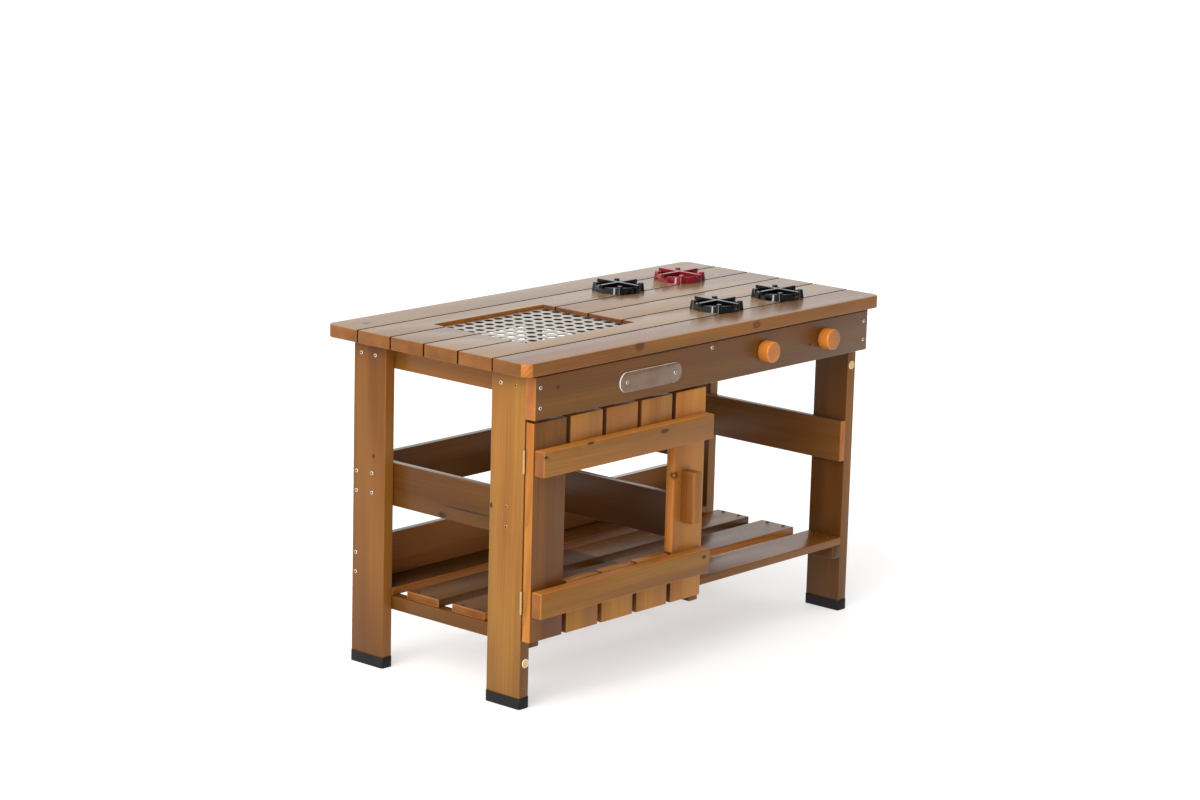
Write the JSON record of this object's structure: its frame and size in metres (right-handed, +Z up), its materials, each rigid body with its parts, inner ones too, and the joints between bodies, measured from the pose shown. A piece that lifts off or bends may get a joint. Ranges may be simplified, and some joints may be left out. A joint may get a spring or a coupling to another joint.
{
  "type": "barbecue play station",
  "caption": "Low slatted pine cooking table with an inset perforated grill, raised pretend hobs, front knobs, a slatted shelf, an open partition and a hinged door with a window.",
  "frame": {"origin": "on the floor under the middle of the whole station", "axes": "+X along the worktop to the right as seen from the front, +Y from the front to the back, +Z up"},
  "size_m": [1.19, 0.6086, 0.7635],
  "materials": {
    "stained_pine": "brown stained pine, satin",
    "knob_wood": "orange lacquered turned wood",
    "perforated_steel": "bright perforated sheet",
    "black_plastic": "moulded, glossy",
    "red_plastic": "moulded, glossy",
    "foot_plastic": "moulded, fine texture",
    "hinge_steel": "zinc plated",
    "bolt_steel": "zinc plated",
    "plate_acrylic": "smoked clear plate"
  },
  "bodies": {
    "frame": {"back_rail_lower": "stained_pine", "back_rail_middle": "stained_pine", "back_rail_top": "stained_pine", "bearer_left": "stained_pine", "bearer_middle": "stained_pine", "bearer_right": "stained_pine", "cross_rail_left": "stained_pine", "cross_rail_middle": "stained_pine", "cross_rail_right": "stained_pine", "door_stop": "stained_pine", "foot_cap_back_left": "foot_plastic", "foot_cap_back_right": "foot_plastic", "foot_cap_front_left": "foot_plastic", "foot_cap_front_right": "foot_plastic", "front_apron": "stained_pine", "front_plate": "plate_acrylic", "grill_cleat_left": "stained_pine", "grill_cleat_right": "stained_pine", "grill_tray": "perforated_steel", "hinge_frame_leaves": "hinge_steel", "hinge_pins": "hinge_steel", "hob_back_left": "black_plastic", "hob_back_right": "red_plastic", "hob_front_left": "black_plastic", "hob_front_right": "black_plastic", "knob_bolts": "bolt_steel", "leg_back_left": "stained_pine", "leg_back_right": "stained_pine", "leg_front_left": "stained_pine", "leg_front_right": "stained_pine", "partition_cleats": "stained_pine", "partition_lower": "stained_pine", "partition_upper": "stained_pine", "shelf_slat_1": "stained_pine", "shelf_slat_2": "stained_pine", "shelf_slat_3": "stained_pine", "shelf_slat_4": "stained_pine", "side_rail_left": "stained_pine", "side_rail_right": "stained_pine", "top_slat_1": "stained_pine", "top_slat_2": "stained_pine", "top_slat_3": "stained_pine", "top_slat_4": "stained_pine", "top_slat_5": "stained_pine", "top_slat_6": "stained_pine"},
    "door": {"door_batten_bottom": "stained_pine", "door_batten_top": "stained_pine", "door_handle": "stained_pine", "door_lower_board_1": "stained_pine", "door_lower_board_2": "stained_pine", "door_lower_board_3": "stained_pine", "door_stile_left": "stained_pine", "door_stile_right": "stained_pine", "door_upper_board_1": "stained_pine", "door_upper_board_2": "stained_pine", "door_upper_board_3": "stained_pine", "hinge_door_leaves": "hinge_steel"},
    "knob_left": {"knob_left": "knob_wood"},
    "knob_right": {"knob_right": "knob_wood"}
  },
  "joints": [
    {"name": "door_swing", "type": "hinge", "parent": "frame", "child": "door", "pos_m": [-0.5598, -0.245, 0.3815], "axis": [0, 0, -1], "range_deg": [0, 180]},
    {"name": "knob_left_turn", "type": "hinge", "parent": "frame", "child": "knob_left", "pos_m": [0.184, -0.2807, 0.6675], "axis": [0, -1, 0], "continuous": true},
    {"name": "knob_right_turn", "type": "hinge", "parent": "frame", "child": "knob_right", "pos_m": [0.399, -0.2807, 0.6675], "axis": [0, -1, 0], "continuous": true}
  ]
}
